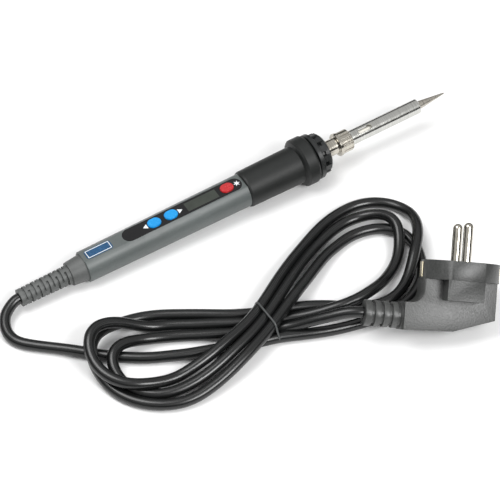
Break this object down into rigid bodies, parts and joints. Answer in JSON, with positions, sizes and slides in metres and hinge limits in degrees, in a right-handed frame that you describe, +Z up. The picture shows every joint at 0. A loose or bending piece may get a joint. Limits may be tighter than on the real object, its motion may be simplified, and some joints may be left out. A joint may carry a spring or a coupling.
{
  "type": "soldering iron",
  "caption": "Mains soldering iron with push buttons and a display in its handle, a grip with a flange, a screw-on tip sleeve, a tied cord and an angled earthed plug.",
  "frame": {"origin": "middle of the underside of the iron as it rests, without its cord", "axes": "+X towards the tip, +Z up, +Y to the left of someone who looks along +X"},
  "size_m": [0.2689, 0.1489, 0.0464],
  "materials": {
    "grey_abs": "moulded satin",
    "grey_pvc": "moulded matte",
    "black_pvc": "smooth extruded",
    "grip_rubber": "moulded matte",
    "black_nylon": "moulded satin",
    "panel_black": "printed gloss",
    "badge_blue": "printed gloss",
    "clear_window": "clear",
    "display_glass": "reflective",
    "white_plastic": "moulded",
    "button_blue": "moulded",
    "button_red": "moulded",
    "switch_plastic": "moulded",
    "board_green": "solder mask",
    "chip_epoxy": "moulded",
    "capacitor_film": "dipped",
    "resistor_paint": "dipped",
    "wire_brown": "extruded",
    "wire_blue": "extruded",
    "wire_green": "extruded",
    "nickel": "plated",
    "steel_screw": "zinc plated",
    "lug_brass": "tinned",
    "ceramic": "fired",
    "lead_wire": "sleeved",
    "tip_plated": "iron plated",
    "stainless": "polished",
    "tie_plastic": "extruded",
    "plug_pvc": "textured"
  },
  "bodies": {
    "handle": {"boot": "grey_pvc", "cord_end": "black_pvc", "cord_clamp": "steel_screw", "handle_shell": "grey_abs", "badge": "badge_blue", "panel": "panel_black", "display_window": "clear_window", "display_glass": "display_glass", "display_frame": "white_plastic", "switch_down": "switch_plastic", "switch_up": "switch_plastic", "switch_power": "switch_plastic", "circuit_board": "board_green", "controller_chip": "chip_epoxy", "triac": "chip_epoxy", "filter_capacitor": "capacitor_film", "board_resistors": "resistor_paint", "live_core": "wire_brown", "neutral_core": "wire_blue", "earth_core": "wire_green", "grip": "grip_rubber", "nose": "black_nylon", "nose_screws": "steel_screw", "ferrule": "nickel", "ferrule_screws": "steel_screw", "earth_lug": "lug_brass", "heater_collar": "ceramic", "heater_rod": "ceramic", "heater_leads": "lead_wire", "cord_lead": "black_pvc", "cord_bundle": "black_pvc", "cord_to_plug": "black_pvc", "cord_tie": "tie_plastic", "plug_body": "plug_pvc", "plug_pin_live": "nickel", "plug_pin_neutral": "nickel", "plug_earth_clips": "lug_brass"},
    "button_down": {"button_down": "button_blue"},
    "button_up": {"button_up": "button_blue"},
    "button_power": {"button_power": "button_red"},
    "tip": {"tip": "tip_plated"},
    "sleeve": {"sleeve": "stainless"},
    "nut": {"nut": "nickel"}
  },
  "joints": [
    {"name": "press_down", "type": "slide", "parent": "handle", "child": "button_down", "axis": [0.0381, 0, -0.9993], "range_m": [0, 0.0004], "stiffness_N_per_m": 1500, "springref_m": -0.0002},
    {"name": "press_up", "type": "slide", "parent": "handle", "child": "button_up", "axis": [0.0381, 0, -0.9993], "range_m": [0, 0.0004], "stiffness_N_per_m": 1500, "springref_m": -0.0002},
    {"name": "press_power", "type": "slide", "parent": "handle", "child": "button_power", "axis": [0.0381, 0, -0.9993], "range_m": [0, 0.0004], "stiffness_N_per_m": 1500, "springref_m": -0.0002},
    {"name": "tip_pull", "type": "slide", "parent": "handle", "child": "tip", "axis": [0.9993, 0, 0.0381], "range_m": [0, 0.045]},
    {"name": "sleeve_advance", "type": "slide", "parent": "tip", "child": "sleeve", "axis": [0.9993, 0, 0.0381], "range_m": [0, 0.005]},
    {"name": "nut_unscrew", "type": "hinge", "parent": "sleeve", "child": "nut", "pos_m": [0.06194, 0, 0.01396], "axis": [0.9993, 0, 0.0381], "range_deg": [0, 1800]}
  ],
  "couplings": [
    {"joint": "nut_unscrew", "follows": "sleeve_advance", "rad_per_m": 6283}
  ]
}
